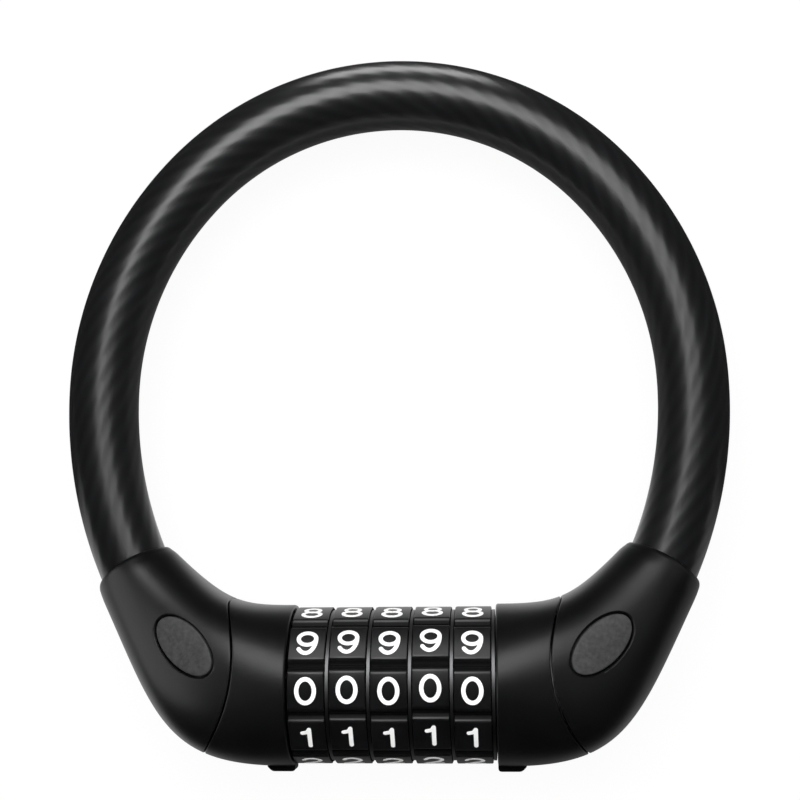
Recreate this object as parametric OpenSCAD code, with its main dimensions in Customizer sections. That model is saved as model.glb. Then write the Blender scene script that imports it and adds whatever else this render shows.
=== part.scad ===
// Ring-shaped cable lock with five number dials.
// A short steel cable bows from one end housing to the other. The left housing carries a slotted core tube
// with the dials on it; the right housing carries the finned bolt that draws out of that tube.
// X runs along the dial axis, Y from the dials to the top of the ring, Z up, with the lock lying on its back.

/* [Cable] */
// Diameter over the plastic sheath
cable_d = 12.2; // [11.4:0.1:12.5]
// Diameter of the steel rope inside the sheath
rope_d = 8; // [6.5:0.5:8]
// Bend radius of the ring's shoulders, to the middle of the cable
shoulder_bend_r = 57; // [50:1:66]
// Bend radius of the ring's sides, to the middle of the cable
side_bend_r = 70; // [60:1:90]
// Angle that the top bend turns through, on each side of the middle
top_turn = 45; // [40:1:50]
// Angle that each shoulder bend turns through
shoulder_turn = 42; // [36:1:46]
// Heading of the cable where it enters a housing, from level at the top of the ring
mouth_heading = 114.5; // [110:0.5:118]
// Bend radius of the cable inside a housing
inside_bend_r = 40; // [36:1:60]
// Angle that the cable turns through inside a housing
inside_turn = 10; // [6:1:12]

/* [Housing] */
// Radius of the housings where they meet the dials
body_r = 13.6; // [13.4:0.1:14.6]
// Distance from a housing's dial end to the middle of its cable mouth, along the dial axis
mouth_reach = 28.4; // [27.6:0.2:30]
// Height of the cable mouth above the dial axis
mouth_rise = 19.7; // [19.1:0.2:21.5]
// Radius of the housing at its cable mouth
mouth_r = 7.3; // [7.2:0.1:7.9]
// Lean of the mouth's face from level
mouth_lean = 31; // [26:1:34]
// Pull of the outer outline where it leaves the dials
outer_lead = 21; // [19.4:0.2:22.6]
// Pull of the outer outline where it reaches the mouth
outer_tail = 25; // [23.6:0.2:26.4]
// Lean of the outer outline at the mouth, from upright
outer_tail_lean = 27; // [24.5:0.5:29.5]
// Pull of the inner outline where it leaves the dials
inner_lead = 10.5; // [9:0.5:12]
// Pull of the inner outline where it reaches the mouth
inner_tail = 13; // [11.6:0.2:14.4]
// Lean of the inner outline at the mouth, from upright
inner_tail_lean = 45; // [42:1:48]
// Rounding of the mouth's rim
rim_r = 0.9; // [0.6:0.1:1]
// Chamfer round the dial end of a housing
end_chamfer = 0.4; // [0.2:0.1:0.6]
// Fullness of the housing's flattened faces, where 2 is an oval section
face_fullness = 2.8; // [2.2:0.1:3]
// Radius of the curved seam between elbow and collar
seam_r = 23.5; // [22:0.5:28]
// Distance from the dial end to the nearest point of the seam
seam_offset = 8.8; // [8.4:0.2:10]
// Height of the seam's nearest point above the dial axis
seam_rise = 4.8; // [3:0.2:6]
// Open line left between elbow and collar
seam_gap = 0.2; // [0.1:0.05:0.4]
// Thickness of a collar's end wall
end_wall = 2.2; // [1.8:0.1:2.6]

/* [Index tabs] */
// Length of the raised index tab beside the dials
tab_l = 4.8; // [3:0.2:6]
// Width of the tab
tab_w = 4; // [2:0.5:6]
// Height of the tab above the collar
tab_h = 0.8; // [0.4:0.1:1.2]

/* [Badges] */
// Length of the bare oval badge
badge_l = 12.6; // [10:0.2:13.4]
// Width of the badge
badge_w = 6.6; // [5:0.1:7.4]
// Thickness of the badge
badge_t = 0.9; // [0.6:0.1:1.2]
// Depth of the badge's middle below the housing's surface
badge_sink = 0.25; // [0.1:0.05:0.4]
// Groove left open round the badge
badge_gap = 0.3; // [0.15:0.05:0.5]
// Share of the way from dial end to mouth at which the badge sits
badge_station = 0.58; // [0.54:0.01:0.61]
// Distance of the badge from the elbow's middle line, towards the inside of the bend
badge_shift = 2; // [1.4:0.2:3]
// Angle of the badge's long axis from the dial axis
badge_angle = 43; // [38:1:50]

/* [Dials] */
// Distance across a dial, over two opposite number faces
dial_d = 26.1; // [25:0.1:26.4]
// Width of a dial
dial_w = 6.13; // [5.6:0.01:6.6]
// Thickness of the steel spacer after each dial
spacer_t = 0.5; // [0.4:0.05:0.8]
// Free play on each side of a dial
side_play = 0.1; // [0.05:0.05:0.2]
// Free play at each end of the row of dials
end_play = 0.175; // [0.125:0.025:0.3]
// Width of the grooves between the number faces
land_groove_w = 2; // [1.4:0.1:2.4]
// Depth of those grooves
land_groove_t = 0.75; // [0.4:0.05:1]
// Distance by which the spacers stay below the dials
spacer_setback = 0.4; // [0.2:0.1:1]

/* [Lock works] */
// Outside diameter of the core tube
core_d = 11; // [10.6:0.1:11.2]
// Diameter of the locking bolt
bolt_d = 7.6; // [7:0.1:7.8]
// Outside diameter of the code rings
code_ring_d = 18; // [17.4:0.1:18.6]
// Distance from the bolt's axis to the tip of a fin
fin_reach = 7.2; // [6.8:0.1:7.3]
// Width of a fin
fin_w = 2.2; // [1.6:0.1:2.6]
// Length of a fin along the bolt
fin_l = 1.8; // [1.2:0.1:2]
// Depth of the recess in a code ring in which a fin waits
fin_recess = 3.2; // [3:0.1:3.4]
// Clearance between parts that slide or turn on one another
running_gap = 0.06; // [0.03:0.01:0.1]
// Clearance between parts that are fixed to one another
fixed_gap = 0.03; // [0.01:0.01:0.05]

/* [Anchors] */
// Diameter of the anchor block inside the collar
anchor_d = 21.4; // [20.6:0.2:21.6]
// Length of the anchor block
anchor_l = 11.4; // [11:0.1:11.6]
// Diameter of the anchor's cable socket
socket_d = 12.6; // [12.2:0.1:12.8]
// Length of the anchor's cable socket
socket_l = 15; // [14:0.5:16]
// Outside diameter of a crimped ferrule
ferrule_d = 10; // [9.4:0.1:10.2]
// Length of a ferrule
ferrule_l = 11; // [9:0.5:11.5]
// Diameter of the pins that hold the tube, bolt and ferrules
pin_d = 2.5; // [2:0.1:3]

/* [Hidden] */

// Smoothness of round edges; true curves wherever the shape is a plain cylinder or bend
$fn = 64;
// Overshoot of cuts past the surfaces that they open
over = 1;
dial_count = 5;
digit_count = 10;
digit_angle = 360 / digit_count;

// Row of dials, centred on the origin
dial_pitch = dial_w + spacer_t + 2 * side_play;
face_x = (dial_count * dial_pitch) / 2 + end_play;
function slot_x(i) = -face_x + end_play + (i - 1) * dial_pitch;
function dial_x(i) = slot_x(i) + side_play;
function spacer_x(i) = dial_x(i) + dial_w + side_play;

// Ring of cable, followed from the middle of the top to the right housing.
// A heading is the clockwise angle from +X.
function along(heading) = [cos(heading), -sin(heading)];
function toward_centre(heading) = [-sin(heading), -cos(heading)];
function turn_end(start, r, from, to) = start + r * toward_centre(from) - r * toward_centre(to);
shoulder_end = top_turn + shoulder_turn;
mouth_c = [face_x + mouth_reach, mouth_rise];
shoulder_run = turn_end([0, 0], shoulder_bend_r, top_turn, shoulder_end);
lower_run = turn_end(shoulder_run, side_bend_r, shoulder_end, mouth_heading);
top_bend_r = (mouth_c.x - lower_run.x) / sin(top_turn);
ring_top = mouth_c.y - lower_run.y + top_bend_r * (1 - cos(top_turn));
top_end = turn_end([0, ring_top], top_bend_r, 0, top_turn);
side_start = turn_end(top_end, shoulder_bend_r, top_turn, shoulder_end);
socket_heading = mouth_heading + inside_turn;
run_in_heading = mouth_heading - 4;
socket_c = turn_end(mouth_c, inside_bend_r, mouth_heading, socket_heading);
sheath_r = cable_d / 2;
rope_r = rope_d / 2;
cable_hole_r = sheath_r + 0.1;
ferrule_c = socket_c + ferrule_l / 2 * along(socket_heading);

// Stations along the cable, each a point and a heading, mirrored left of the middle
function route_point(h) =
    h <= top_turn ? turn_end([0, ring_top], top_bend_r, 0, h) :
    h <= shoulder_end ? turn_end(top_end, shoulder_bend_r, top_turn, h) :
    h <= mouth_heading ? turn_end(side_start, side_bend_r, shoulder_end, h) :
    turn_end(mouth_c, inside_bend_r, mouth_heading, h);
function mirrored(p, s) = [s < 0 ? -p.x : p.x, p.y];
half_stations = 28;
ring_route = [
    for (k = [-half_stations:half_stations])
        let(h = abs(k) / half_stations * socket_heading, s = k < 0 ? -1 : 1)
        [mirrored(route_point(h), s), s * h]
];
rope_tip = socket_c + ferrule_l * along(socket_heading);
rope_route = concat(
    [[mirrored(rope_tip, -1), -socket_heading]], ring_route, [[rope_tip, socket_heading]]
);

// Housing outline: two smooth curves in the plane of the ring, each led by its end directions
loft_x = face_x + end_chamfer;
mouth_across = [cos(mouth_lean), -sin(mouth_lean)];
mouth_out = [sin(mouth_lean), cos(mouth_lean)];
shoulder_outer = mouth_c + mouth_r * mouth_across;
shoulder_inner = mouth_c - mouth_r * mouth_across;
function leaning(angle) = [sin(angle), cos(angle)];
outer_curve = [
    [loft_x, -body_r], [loft_x + outer_lead, -body_r],
    shoulder_outer - outer_tail * leaning(outer_tail_lean), shoulder_outer
];
inner_curve = [
    [loft_x, body_r], [loft_x + inner_lead, body_r],
    shoulder_inner - inner_tail * leaning(inner_tail_lean), shoulder_inner
];
function bezier(p, t) =
    let(u = 1 - t) u * u * u * p[0] + 3 * u * u * t * p[1] + 3 * u * t * t * p[2] + t * t * t * p[3];
function half_depth(t) = body_r - (body_r - mouth_r) * t * t;
function fullness(t) = 2 + (face_fullness - 2) * sin(180 * t);

// One oval section between an outer and an inner point, followed by its angle round the middle
around = 48;
function section(outer, inner, depth, n) = [
    for (k = [0:around - 1])
        let(a = 360 * k / around, r = pow(pow(abs(cos(a)), n) + pow(abs(sin(a)), n), -1 / n))
        let(p = (outer + inner) / 2 + r * cos(a) * (outer - inner) / 2)
        [p.x, p.y, depth * r * sin(a)]
];
stations = 26;
rim_steps = 4;
loft_sections = concat(
    [section([face_x, -body_r + end_chamfer], [face_x, body_r - end_chamfer], body_r - end_chamfer, 2)],
    [for (i = [0:stations]) let(t = i / stations)
        section(bezier(outer_curve, t), bezier(inner_curve, t), half_depth(t), fullness(t))],
    [for (i = [1:rim_steps])
        let(a = 90 * i / rim_steps, push = rim_r * sin(a) * mouth_out)
        let(drop = rim_r * (1 - cos(a)), inset = drop * mouth_across)
        section(shoulder_outer - inset + push, shoulder_inner + inset + push, mouth_r - drop, 2)]
);

// Seat of the badge: a point on the elbow's front and the way that the surface faces there
function front_point(t, shift) =
    let(o = bezier(outer_curve, t), i = bezier(inner_curve, t), n = fullness(t))
    let(half = norm(o - i) / 2, c = shift / half)
    let(p = (o + i) / 2 + shift * (i - o) / (2 * half))
    [p.x, p.y, half_depth(t) * pow(1 - pow(abs(c), n), 1 / n)];
function unit(v) = v / norm(v);
probe_t = 0.12;
probe_shift = 0.8 * badge_shift;
function front_step(dt, ds) =
    front_point(badge_station + dt, badge_shift + ds) - front_point(badge_station - dt, badge_shift - ds);
badge_along = front_step(probe_t, 0);
badge_across = front_step(0, probe_shift);
badge_normal = unit(cross(badge_along, badge_across));
badge_seat = front_point(badge_station, badge_shift);
badge_tilt = acos(badge_normal.z);
badge_tilt_way = atan2(badge_normal.y, badge_normal.x);

// Seam between elbow and collar
seam_c = [face_x + seam_offset + seam_r, seam_rise];

// Lock works
core_r = core_d / 2;
core_bore_r = bolt_d / 2 + running_gap;
bolt_r = bolt_d / 2;
code_bore_r = core_r + running_gap;
code_ring_r = code_ring_d / 2;
gate_gap = 0.2;
gate_w = fin_w + 2 * gate_gap;
gate_r = fin_reach + gate_gap;
recess_r = gate_r + gate_gap;
corner_rise = 0.35;
spline_h = 0.55;
spline_w = 1.4;
spline_gap = 0.05;
fin_lead = (fin_recess - fin_l) / 2;
clip_t = 0.7;
clip_groove = 0.4;
clip_reach = 1.4;
clip_gap = 0.05;
clip_opening = gate_w + 1;
clip_x = spacer_x(dial_count) + spacer_t + side_play;
core_tail = 1.3;
core_end_x = clip_x + clip_t + core_tail;
anchor_gap = 0.1;
anchor_x = face_x + end_wall + anchor_gap;
anchor_r = anchor_d / 2;
socket_r = socket_d / 2;
pocket_gap = 0.8;
pocket_r = core_r + clip_reach + pocket_gap;
seat_wall = 1.5;
tube_seat_l = anchor_l - seat_wall;
core_start_x = -(anchor_x + tube_seat_l);
bolt_tip_l = 0.4;
bolt_tip_x = dial_x(1) + fin_lead - bolt_tip_l;
bolt_nose = 1;
bolt_root_x = anchor_x + tube_seat_l;
pin_r = pin_d / 2;
pin_setback = 0.4;
cross_pin_x = anchor_x + anchor_l / 2;

// Detent spring: a strip in a flat on the core tube, with one rounded bump for each code ring
flat_t = 0.6;
flat_y = core_r - flat_t;
strip_t = 0.25;
strip_w = 2.4;
strip_setback = 0.2;
bump_r = 0.8;
bump_rise = 0.15;
bump_y = flat_y + bump_rise;
bump_l = 1.6;
notch_gap = 0.08;
notch_r = bump_r + notch_gap;
function web_x(i) = dial_x(i) + (fin_recess + dial_w) / 2;

// The lock lies on the backs of its housings, centred under its own box
tab_bottom = -(body_r + tab_h);
centre_y = (ring_top + sheath_r + tab_bottom) / 2;
module placed() { translate([0, -centre_y, body_r]) children(); }
module on_side(s) { mirror([s < 0 ? 1 : 0, 0, 0]) children(); }
module along_x(x) { translate([x, 0, 0]) rotate([0, 90, 0]) children(); }
module bore(r, l) { translate([0, 0, -over]) cylinder(r = r, h = l + 2 * over); }
module digit_steps(first = 0) { for (k = [0:digit_count - 1]) rotate([0, 0, first + k * digit_angle]) children(); }

// A bend of the cable route, swept from one heading to the next
module bend(start, r, from, to) {
    c = start + r * toward_centre(from);
    translate([c.x, c.y, 0]) rotate([0, 0, 90 - to])
        rotate_extrude(angle = to - from) translate([r, 0]) children();
}

// A pipe, or with no inner radius a bar, swept through the stations of a route
module tube(route, outer_r, inner_r, sides) {
    count = len(route);
    radii = inner_r > 0 ? [outer_r, inner_r] : [outer_r];
    points = [
        for (r = radii) for (station = route) for (k = [0:sides - 1])
            let(across = -r * cos(360 * k / sides) * toward_centre(station[1]))
            [station[0].x + across.x, station[0].y + across.y, r * sin(360 * k / sides)]
    ];
    function id(layer, i, k) = (layer * count + i) * sides + k % sides;
    outside = [
        for (i = [0:count - 2]) for (k = [0:sides - 1])
            for (f = [[id(0, i, k), id(0, i + 1, k), id(0, i, k + 1)],
                      [id(0, i, k + 1), id(0, i + 1, k), id(0, i + 1, k + 1)]]) f
    ];
    inside = inner_r > 0 ? [
        for (i = [0:count - 2]) for (k = [0:sides - 1])
            for (f = [[id(1, i, k), id(1, i, k + 1), id(1, i + 1, k)],
                      [id(1, i, k + 1), id(1, i + 1, k + 1), id(1, i + 1, k)]]) f
    ] : [];
    ends = inner_r > 0 ? [
        for (k = [0:sides - 1]) for (f = [
            [id(0, 0, k), id(1, 0, k + 1), id(1, 0, k)], [id(0, 0, k), id(0, 0, k + 1), id(1, 0, k + 1)],
            [id(0, count - 1, k), id(1, count - 1, k), id(1, count - 1, k + 1)],
            [id(0, count - 1, k), id(1, count - 1, k + 1), id(0, count - 1, k + 1)]]) f
    ] : [[for (k = [0:sides - 1]) id(0, 0, k)], [for (k = [0:sides - 1]) id(0, count - 1, sides - 1 - k)]];
    polyhedron(points, concat(outside, inside, ends), convexity = 8);
}

// A round bar down the cable socket, from its mouth
module down_socket(r, l, from = 0) {
    p = socket_c + from * along(socket_heading);
    translate([p.x, p.y, 0]) rotate([0, 0, -socket_heading]) along_x(0) cylinder(r = r, h = l);
}

module upright_pin(x, y, r, half_l) { translate([x, y, -half_l]) cylinder(r = r, h = 2 * half_l); }

// Cable ------------------------------------------------------------------------------------------

module cable_sheath() {
    color([0.12, 0.12, 0.13]) placed() tube(ring_route, sheath_r, rope_r + fixed_gap, 24);
}

module cable_rope() {
    color("silver") placed() difference() {
        tube(rope_route, rope_r, 0, 16);
        for (s = [-1, 1]) on_side(s) upright_pin(ferrule_c.x, ferrule_c.y, pin_r + running_gap, body_r);
    }
}

// Housings, drawn for the right side -------------------------------------------------------------

module housing_form() {
    last = len(loft_sections) - 1;
    points = [for (ring = loft_sections) for (p = ring) p];
    sides = [
        for (i = [0:last - 1]) for (k = [0:around - 1])
            let(a = i * around + k, b = i * around + (k + 1) % around)
            for (f = [[a, b, a + around], [b, b + around, a + around]]) f
    ];
    near = [for (k = [0:around - 1]) around - 1 - k];
    far = [for (k = [0:around - 1]) last * around + k];
    polyhedron(points, concat([near], sides, [far]), convexity = 6);
}

module seam_cut(r) { translate([seam_c.x, seam_c.y, -2 * body_r]) cylinder(r = r, h = 4 * body_r, $fn = 128); }

module anchor_form(grow = 0) {
    along_x(anchor_x - grow) cylinder(r = anchor_r + grow, h = anchor_l + 2 * grow);
    down_socket(socket_r + grow, socket_l);
}

module badge_place() {
    translate(badge_seat - badge_sink * badge_normal) rotate([0, 0, badge_tilt_way]) rotate([0, badge_tilt, 0])
        rotate([0, 0, badge_angle - badge_tilt_way]) children();
}

module oval(l, w, h) {
    linear_extrude(height = h)
        polygon([for (k = [0:59]) [l / 2 * cos(6 * k), w / 2 * sin(6 * k)]]);
}

module elbow() {
    difference() {
        intersection() {
            housing_form();
            seam_cut(seam_r - seam_gap);
        }
        anchor_form(fixed_gap);
        along_x(face_x) cylinder(r = anchor_r + fixed_gap, h = anchor_l);
        bend(mouth_c, inside_bend_r, mouth_heading, socket_heading) circle(r = cable_hole_r);
        bend(route_point(run_in_heading), side_bend_r, run_in_heading, mouth_heading) circle(r = cable_hole_r);
        badge_place() translate([0, 0, -badge_t])
            oval(badge_l + 2 * badge_gap, badge_w + 2 * badge_gap, 3 * badge_t);
    }
}

module collar(hole_r) {
    difference() {
        housing_form();
        seam_cut(seam_r);
        along_x(face_x + end_wall) cylinder(r = anchor_r + fixed_gap, h = 3 * anchor_l);
        along_x(face_x) bore(hole_r, end_wall);
    }
    translate([face_x, tab_bottom, -tab_w / 2]) linear_extrude(height = tab_w)
        polygon([[0, 0], [tab_l - tab_h, 0], [tab_l, tab_h], [tab_l, 2 * tab_h], [0, 2 * tab_h]]);
}

module badge() { badge_place() translate([0, 0, -badge_t]) oval(badge_l, badge_w, badge_t); }

module anchor(bore_r) {
    difference() {
        anchor_form();
        along_x(anchor_x - over) cylinder(r = bore_r + fixed_gap, h = tube_seat_l + over + fixed_gap);
        down_socket(ferrule_d / 2 + fixed_gap, ferrule_l + over + fixed_gap, -over);
        upright_pin(ferrule_c.x, ferrule_c.y, pin_r + fixed_gap, body_r);
        upright_pin(cross_pin_x, 0, pin_r + fixed_gap, body_r);
    }
}

module ferrule() {
    difference() {
        down_socket(ferrule_d / 2, ferrule_l);
        down_socket(rope_r + fixed_gap, ferrule_l + 2 * over, -over);
        upright_pin(ferrule_c.x, ferrule_c.y, pin_r + fixed_gap, body_r);
    }
}

module ferrule_pin() { upright_pin(ferrule_c.x, ferrule_c.y, pin_r, socket_r - pin_setback); }

module cross_pin() { upright_pin(cross_pin_x, 0, pin_r, anchor_r - pin_setback); }

module left_elbow() { color([0.13, 0.13, 0.14]) placed() on_side(-1) elbow(); }
module right_elbow() { color([0.13, 0.13, 0.14]) placed() elbow(); }
module left_collar() { color([0.15, 0.15, 0.16]) placed() on_side(-1) collar(core_r + fixed_gap); }
module right_collar() { color([0.15, 0.15, 0.16]) placed() collar(pocket_r); }
module left_badge() { color([0.2, 0.2, 0.21]) placed() on_side(-1) badge(); }
module right_badge() { color([0.2, 0.2, 0.21]) placed() badge(); }
module left_anchor() { color("darkgray") placed() on_side(-1) anchor(core_r); }
module right_anchor() { color("darkgray") placed() anchor(bolt_r); }
module left_ferrule() { color("lightgray") placed() on_side(-1) ferrule(); }
module right_ferrule() { color("lightgray") placed() ferrule(); }
module left_ferrule_pin() { color("dimgray") placed() on_side(-1) ferrule_pin(); }
module right_ferrule_pin() { color("dimgray") placed() ferrule_pin(); }
module core_tube_pin() { color("dimgray") placed() on_side(-1) cross_pin(); }
module bolt_pin() { color("dimgray") placed() cross_pin(); }

// Lock works -------------------------------------------------------------------------------------

// The gate side is -Y: the tube's slot, the fins, and the gates of the spacers and rings lie there
module gate(x, l, w, reach) { translate([x, -reach, -w / 2]) cube([l, reach, w]); }

module core_tube() {
    color("lightsteelblue") placed() difference() {
        along_x(core_start_x) cylinder(r = core_r, h = core_end_x - core_start_x);
        along_x(core_start_x) bore(core_bore_r, core_end_x - core_start_x);
        gate(-face_x, face_x + core_end_x + over, gate_w, core_r + over);
        translate([slot_x(1), flat_y, -core_r]) cube([dial_count * dial_pitch, core_r, core_d]);
        along_x(clip_x) difference() {
            cylinder(r = core_r + over, h = clip_t);
            bore(core_r - clip_groove, clip_t);
        }
        on_side(-1) upright_pin(cross_pin_x, 0, pin_r + fixed_gap, body_r);
    }
}

module detent_spring() {
    color("gold") placed() {
        translate([slot_x(1) + strip_setback, flat_y + fixed_gap, -strip_w / 2])
            cube([dial_count * dial_pitch - 2 * strip_setback, strip_t, strip_w]);
        for (i = [1:dial_count]) intersection() {
            along_x(web_x(i) - bump_l / 2) translate([0, bump_y, 0]) cylinder(r = bump_r, h = bump_l);
            translate([web_x(i) - bump_l, flat_y + fixed_gap, -bump_l]) cube(2 * bump_l);
        }
    }
}

module spacer_washers() {
    color("whitesmoke") placed() for (i = [1:dial_count]) difference() {
        along_x(spacer_x(i)) cylinder(r = dial_d / 2 - spacer_setback, h = spacer_t);
        along_x(spacer_x(i)) bore(code_bore_r, spacer_t);
        gate(spacer_x(i) - over, spacer_t + 2 * over, gate_w, gate_r);
    }
}

module retaining_clip() {
    color("gray") placed() difference() {
        along_x(clip_x + fixed_gap) cylinder(r = core_r + clip_reach, h = clip_t - 2 * fixed_gap);
        along_x(clip_x) bore(core_r - clip_groove + clip_gap, clip_t);
        gate(clip_x - over, clip_t + 2 * over, clip_opening, core_d);
    }
}

module dial(i) {
    land_r = dial_d / 2;
    color([0.05, 0.05, 0.06]) placed() along_x(dial_x(i)) difference() {
        intersection() {
            rotate([0, 0, digit_angle / 2])
                cylinder(r = land_r / cos(digit_angle / 2), h = dial_w, $fn = digit_count);
            cylinder(r = land_r + corner_rise, h = dial_w);
        }
        digit_steps(digit_angle / 2) translate([land_r - land_groove_t, -land_groove_w / 2, -over])
            cube([land_groove_t + over, land_groove_w, dial_w + 2 * over]);
        bore(code_ring_r + spline_gap, dial_w);
        digit_steps() translate([code_ring_r - over, -spline_w / 2 - spline_gap, -over])
            cube([over + spline_h + spline_gap, spline_w + 2 * spline_gap, dial_w + 2 * over]);
    }
}

module code_ring(i) {
    color("goldenrod") placed() difference() {
        along_x(dial_x(i)) difference() {
            union() {
                cylinder(r = code_ring_r, h = dial_w);
                digit_steps() translate([code_ring_r - over, -spline_w / 2, 0])
                    cube([over + spline_h, spline_w, dial_w]);
            }
            bore(code_bore_r, dial_w);
            translate([0, 0, -over]) cylinder(r = recess_r, h = fin_recess + over);
            digit_steps(digit_angle / 2) translate([bump_y, 0, 0]) bore(notch_r, dial_w);
        }
        gate(dial_x(i) - over, dial_w + 2 * over, gate_w, gate_r);
    }
}

module locking_bolt() {
    color("silver") placed() difference() {
        union() {
            along_x(bolt_tip_x) cylinder(r1 = bolt_r - bolt_nose, r2 = bolt_r, h = bolt_nose);
            along_x(bolt_tip_x + bolt_nose) cylinder(r = bolt_r, h = bolt_root_x - bolt_tip_x - bolt_nose);
            for (i = [1:dial_count]) gate(dial_x(i) + fin_lead, fin_l, fin_w, fin_reach);
        }
        upright_pin(cross_pin_x, 0, pin_r + fixed_gap, body_r);
    }
}

module dial_1() { dial(1); }
module dial_2() { dial(2); }
module dial_3() { dial(3); }
module dial_4() { dial(4); }
module dial_5() { dial(5); }
module code_ring_1() { code_ring(1); }
module code_ring_2() { code_ring(2); }
module code_ring_3() { code_ring(3); }
module code_ring_4() { code_ring(4); }
module code_ring_5() { code_ring(5); }

cable_sheath();
cable_rope();
left_elbow();
left_collar();
left_badge();
left_anchor();
left_ferrule();
left_ferrule_pin();
core_tube();
core_tube_pin();
detent_spring();
spacer_washers();
retaining_clip();
dial_1();
dial_2();
dial_3();
dial_4();
dial_5();
code_ring_1();
code_ring_2();
code_ring_3();
code_ring_4();
code_ring_5();
locking_bolt();
bolt_pin();
right_elbow();
right_collar();
right_badge();
right_anchor();
right_ferrule();
right_ferrule_pin();
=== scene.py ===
"""Ring-shaped cable lock with five number dials: its skins, finishes and stage.

X runs along the dial axis, Y from the dials to the top of the ring, Z up, with the lock lying on its back.
Shapes are worked out in metres from the dial axis, and row() moves them to the model's own frame.
"""

import math

import bpy
import numpy as np
from mathutils import Matrix, Vector


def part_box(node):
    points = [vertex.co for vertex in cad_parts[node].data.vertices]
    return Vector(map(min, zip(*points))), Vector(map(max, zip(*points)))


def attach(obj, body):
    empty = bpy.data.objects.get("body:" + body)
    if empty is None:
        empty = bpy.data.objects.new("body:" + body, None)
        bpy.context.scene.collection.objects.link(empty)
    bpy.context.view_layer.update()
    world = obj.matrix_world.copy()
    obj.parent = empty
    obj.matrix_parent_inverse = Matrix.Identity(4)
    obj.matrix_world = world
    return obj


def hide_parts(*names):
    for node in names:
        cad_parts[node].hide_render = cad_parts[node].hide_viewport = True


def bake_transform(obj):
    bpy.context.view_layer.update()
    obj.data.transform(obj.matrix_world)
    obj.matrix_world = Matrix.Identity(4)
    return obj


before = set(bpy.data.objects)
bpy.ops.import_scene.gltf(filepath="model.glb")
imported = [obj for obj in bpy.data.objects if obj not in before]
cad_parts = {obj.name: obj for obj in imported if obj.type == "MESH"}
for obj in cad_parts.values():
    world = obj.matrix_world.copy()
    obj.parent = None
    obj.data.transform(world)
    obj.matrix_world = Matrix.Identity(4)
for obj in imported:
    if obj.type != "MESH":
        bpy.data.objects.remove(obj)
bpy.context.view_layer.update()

bl_info = {
    "name": "Dial cable lock",
    "version": (1, 0, 0),
    "blender": (4, 5, 0),
    "location": "3D View > Sidebar > Cable lock",
    "description": "Ring-shaped cable lock with five number dials",
    "category": "Add Mesh",
}

MM = 0.001
SIDES = {"left": -1, "right": 1}
SIDE_BODY = {"left": "left_housing", "right": "bolt_end"}
DIALS = range(1, 6)
DIGITS = 10
STEP = 2 * math.pi / DIGITS

# Radius of the hole in each collar: it holds the core tube on the left, and clears the tube's clip on the right
COLLAR_HOLES = {"left": 5.53 * MM, "right": 7.7 * MM}

# Tints that several shaders share
FELT = (0.001, 0.001, 0.001, 1)
# Black matt that paints shade into the dials' hollows
SHADE_BLACK = (0.002, 0.002, 0.002, 1)
WHITE = (1, 1, 1, 1)

# The dial axis in the model's frame, and where the dials lie along it
DIAL_BOXES = [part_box(f"dial_{i}") for i in DIALS]
AXIS = np.array([0.0, *((DIAL_BOXES[0][0][k] + DIAL_BOXES[0][1][k]) / 2 for k in (1, 2))])
FACE_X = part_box("right_collar")[0][0]


# ---- Sizes and colours ----


def amount(label, words, value, **kind):
    return bpy.props.FloatProperty(name=label, description=words, default=value, **kind)


def length(label, words, millimetres):
    """A size in metres, given here in millimetres."""
    return amount(label, words, millimetres * MM, unit="LENGTH", precision=5)


def angle(label, words, degrees):
    """An angle in radians, given here in degrees."""
    return amount(label, words, math.radians(degrees), subtype="ANGLE")


def lengths(label, words, millimetres):
    """A point, or a width and depth, in metres, given here in millimetres."""
    default = [value * MM for value in millimetres]
    return bpy.props.FloatVectorProperty(
        name=label, description=words, size=len(default), default=default, unit="LENGTH", precision=5
    )


def colour(label, words, values):
    return bpy.props.FloatVectorProperty(name=label, description=words, default=values, subtype="COLOR", min=0, max=1)


class CableSizes(bpy.types.PropertyGroup):
    """Sizes of the sheathed cable, its bends and its rope"""

    diameter: length("Diameter", "Diameter over the plastic sheath", 12.2)
    bore: length("Sheath bore", "Diameter of the hole that the rope lies in", 8.06)
    rope_diameter: length("Rope", "Diameter of the steel rope", 8)
    shoulder_radius: length("Shoulder bend", "Bend radius of the ring's shoulders", 57)
    side_radius: length("Side bend", "Bend radius of the ring's sides", 70)
    inside_radius: length("Inside bend", "Bend radius inside a housing", 40)
    top_turn: angle("Top turn", "Angle that half the top bend turns through", 45)
    shoulder_turn: angle("Shoulder turn", "Angle that a shoulder bend turns through", 42)
    mouth_heading: angle("Mouth heading", "Heading of the cable where it enters a housing", 114.5)
    inside_turn: angle("Inside turn", "Angle turned through inside a housing", 10)
    lay_waves: bpy.props.IntProperty(name="Lay waves", description="Rope wires that show round the sheath", default=18)
    lay_pitch: length("Lay pitch", "Length in which a wire goes once round", 88)
    lay_height: length("Lay height", "Height of the ripples that the rope presses into the sheath", 0.007)
    sheath_colour: colour("Sheath", "Smoky plastic of the sheath", (0.0078, 0.008, 0.0085))


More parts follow.
